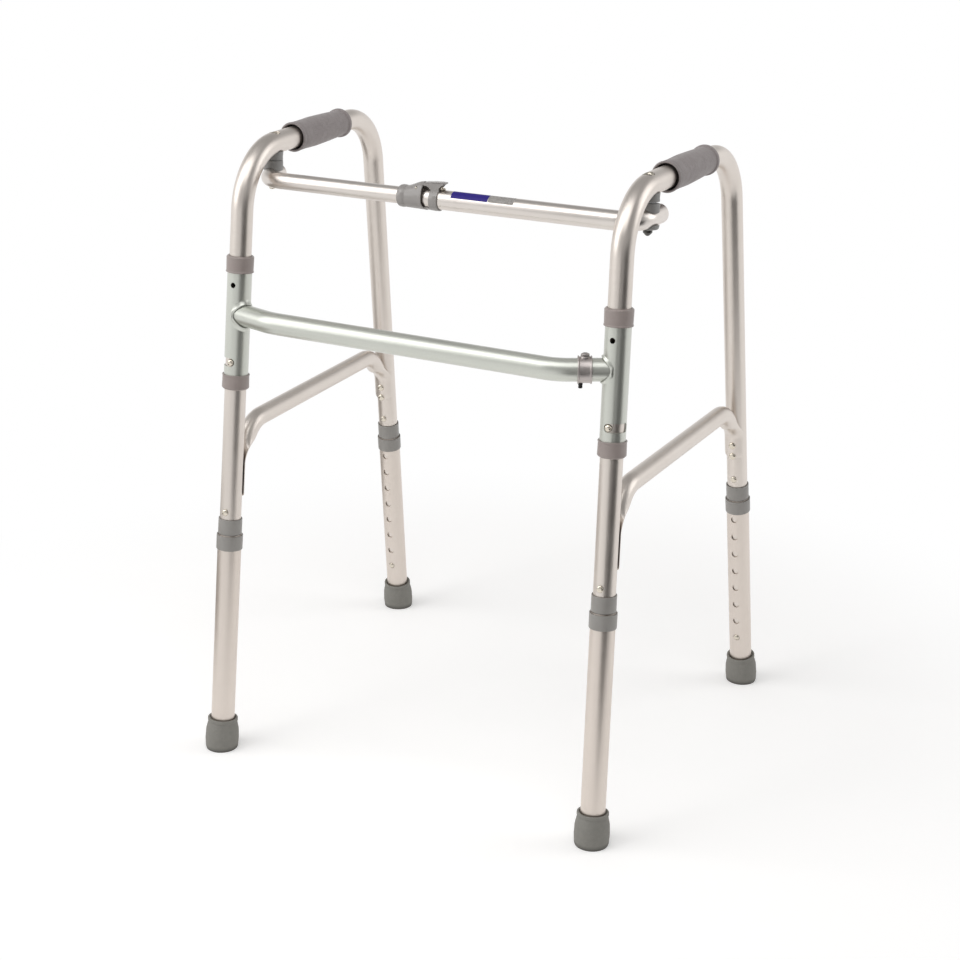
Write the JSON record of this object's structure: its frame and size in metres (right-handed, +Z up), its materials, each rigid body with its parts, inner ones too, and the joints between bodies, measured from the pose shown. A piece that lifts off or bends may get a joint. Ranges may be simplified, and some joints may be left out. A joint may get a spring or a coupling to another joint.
{
  "type": "folding walker",
  "caption": "Folding aluminium walker: two U-shaped side frames with braces and grips, hinged on a crossbar, with a telescoping locking bar and height-adjustable legs.",
  "frame": {"origin": "on the floor, under the middle of the walker's box at rest (open, legs at their lowest setting)", "axes": "+Z up, +Y towards the person's side (the open back), -Y towards the crossbar, +X to the walker's right side as seen from the crossbar side"},
  "size_m": [0.5672, 0.5235, 0.7499],
  "materials": {
    "satin_aluminium": "satin",
    "grey_aluminium": "satin",
    "bush_plastic": "matte",
    "collar_plastic": "matte",
    "grip_vinyl": "matte",
    "tip_rubber": "matte",
    "bright_steel": "polished",
    "dark_steel": "satin",
    "black_plastic": "matte"
  },
  "bodies": {
    "crossbar": {"crossbar": "grey_aluminium", "clamp_band": "grey_aluminium", "clamp_screw": "bright_steel", "clamp_nub": "black_plastic", "left_sleeve": "grey_aluminium", "left_lower_bush": "bush_plastic", "left_upper_bush": "bush_plastic", "right_sleeve": "grey_aluminium", "right_lower_bush": "bush_plastic", "right_upper_bush": "bush_plastic"},
    "left_frame": {"left_frame_tube": "satin_aluminium", "left_brace": "satin_aluminium", "left_grip": "grip_vinyl", "left_saddle": "collar_plastic", "left_front_stop_collar": "collar_plastic", "left_front_stop_rivet": "bright_steel", "left_rear_stop_collar": "collar_plastic", "left_rear_stop_rivet": "bright_steel"},
    "right_frame": {"right_frame_tube": "satin_aluminium", "right_brace": "satin_aluminium", "right_grip": "grip_vinyl", "right_saddle": "collar_plastic", "right_bolt": "dark_steel", "right_front_stop_collar": "collar_plastic", "right_front_stop_rivet": "bright_steel", "right_rear_stop_collar": "collar_plastic", "right_rear_stop_rivet": "bright_steel"},
    "left_swivel": {"left_bolt": "dark_steel", "left_nut": "dark_steel"},
    "bar_inner": {"bar_inner_tube": "satin_aluminium", "left_foot_saddle": "collar_plastic", "left_lower_saddle": "collar_plastic"},
    "bar_plug": {"bar_end_plug": "black_plastic"},
    "bar_outer": {"bar_outer_tube": "satin_aluminium", "lock_housing": "collar_plastic", "lever_pin": "bright_steel", "right_foot_saddle": "collar_plastic", "right_lower_saddle": "collar_plastic", "right_nut": "dark_steel"},
    "lock_lever": {"lock_lever": "collar_plastic"},
    "lock_button": {"lock_button": "bright_steel"},
    "left_sleeve_clip": {"left_sleeve_clip": "bright_steel"},
    "right_sleeve_clip": {"right_sleeve_clip": "bright_steel"},
    "left_front_leg": {"left_front_leg_tube": "satin_aluminium", "left_front_leg_collar": "collar_plastic", "left_front_tip": "tip_rubber"},
    "left_rear_leg": {"left_rear_leg_tube": "satin_aluminium", "left_rear_leg_collar": "collar_plastic", "left_rear_tip": "tip_rubber"},
    "right_front_leg": {"right_front_leg_tube": "satin_aluminium", "right_front_leg_collar": "collar_plastic", "right_front_tip": "tip_rubber"},
    "right_rear_leg": {"right_rear_leg_tube": "satin_aluminium", "right_rear_leg_collar": "collar_plastic", "right_rear_tip": "tip_rubber"},
    "left_front_height_clip": {"left_front_height_clip": "bright_steel"},
    "left_rear_height_clip": {"left_rear_height_clip": "bright_steel"},
    "right_front_height_clip": {"right_front_height_clip": "bright_steel"},
    "right_rear_height_clip": {"right_rear_height_clip": "bright_steel"}
  },
  "joints": [
    {"name": "left_fold", "type": "hinge", "parent": "crossbar", "child": "left_frame", "pos_m": [-0.23939, -0.20193, 0.46386], "axis": [-0.0222, -0.0867, -0.996], "range_deg": [0, 84]},
    {"name": "right_fold", "type": "hinge", "parent": "crossbar", "child": "right_frame", "pos_m": [0.23939, -0.20193, 0.46386], "axis": [-0.0222, 0.0867, 0.996], "range_deg": [0, 50]},
    {"name": "left_front_leg_slide", "type": "slide", "parent": "left_frame", "child": "left_front_leg", "axis": [-0.0222, -0.0867, -0.996], "range_m": [0, 0.1778], "deforming": ["left_front_height_clip"]},
    {"name": "left_rear_leg_slide", "type": "slide", "parent": "left_frame", "child": "left_rear_leg", "axis": [-0.0284, 0.1532, -0.9878], "range_m": [0, 0.1778], "deforming": ["left_rear_height_clip"]},
    {"name": "left_front_button_press", "type": "slide", "parent": "left_frame", "child": "left_front_height_clip", "axis": [0.0289, -0.9959, 0.0861], "range_m": [0, 0.0035], "stiffness_N_per_m": 1500, "springref_m": -0.001},
    {"name": "left_rear_button_press", "type": "slide", "parent": "left_frame", "child": "left_rear_height_clip", "axis": [-0.0228, 0.9878, 0.1539], "range_m": [0, 0.0035], "stiffness_N_per_m": 1500, "springref_m": -0.001},
    {"name": "left_sleeve_button_press", "type": "slide", "parent": "left_frame", "child": "left_sleeve_clip", "axis": [-0.0289, 0.9959, -0.0861], "range_m": [0, 0.0035], "stiffness_N_per_m": 1500, "springref_m": -0.001},
    {"name": "right_front_leg_slide", "type": "slide", "parent": "right_frame", "child": "right_front_leg", "axis": [0.0222, -0.0867, -0.996], "range_m": [0, 0.1778], "deforming": ["right_front_height_clip"]},
    {"name": "right_rear_leg_slide", "type": "slide", "parent": "right_frame", "child": "right_rear_leg", "axis": [0.0284, 0.1532, -0.9878], "range_m": [0, 0.1778], "deforming": ["right_rear_height_clip"]},
    {"name": "right_front_button_press", "type": "slide", "parent": "right_frame", "child": "right_front_height_clip", "axis": [-0.0289, -0.9959, 0.0861], "range_m": [0, 0.0035], "stiffness_N_per_m": 1500, "springref_m": -0.001},
    {"name": "right_rear_button_press", "type": "slide", "parent": "right_frame", "child": "right_rear_height_clip", "axis": [0.0228, 0.9878, 0.1539], "range_m": [0, 0.0035], "stiffness_N_per_m": 1500, "springref_m": -0.001},
    {"name": "right_sleeve_button_press", "type": "slide", "parent": "right_frame", "child": "right_sleeve_clip", "axis": [0.0289, 0.9959, -0.0861], "range_m": [0, 0.0035], "stiffness_N_per_m": 1500, "springref_m": -0.001},
    {"name": "left_swivel", "type": "hinge", "parent": "left_frame", "child": "left_swivel", "pos_m": [-0.236, -0.11584, 0.6955], "axis": [0.0222, 0.0867, 0.996], "range_deg": [0, 93]},
    {"name": "bar_turn", "type": "hinge", "parent": "left_swivel", "child": "bar_inner", "pos_m": [-0.236, -0.11584, 0.6955], "axis": [0.0222, 0.0867, 0.996], "range_deg": [-4, 0]},
    {"name": "plug_slide", "type": "slide", "parent": "bar_inner", "child": "bar_plug", "axis": [-1, 0, 0], "range_m": [0, 0.065]},
    {"name": "outer_slide", "type": "slide", "parent": "bar_plug", "child": "bar_outer", "axis": [-1, 0, 0], "range_m": [0, 0.056]},
    {"name": "lever_press", "type": "hinge", "parent": "bar_outer", "child": "lock_lever", "pos_m": [-0.027, -0.142, 0.7079], "axis": [0, 1, 0], "range_deg": [0, 4], "stiffness_Nm_per_rad": 0.1, "springref_deg": -17.19},
    {"name": "lock_button_press", "type": "slide", "parent": "bar_outer", "child": "lock_button", "axis": [0, 0, -1], "range_m": [0, 0.0015]}
  ],
  "couplings": [
    {"joint": "left_swivel", "follows": "left_fold", "ratio": 1.0951},
    {"joint": "bar_turn", "follows": "right_fold", "ratio": -0.05988},
    {"joint": "plug_slide", "follows": "left_fold", "m_per_rad": 0.04299},
    {"joint": "outer_slide", "follows": "right_fold", "m_per_rad": 0.05775},
    {"joint": "lock_button_press", "follows": "lever_press", "m_per_rad": 0.0214}
  ]
}
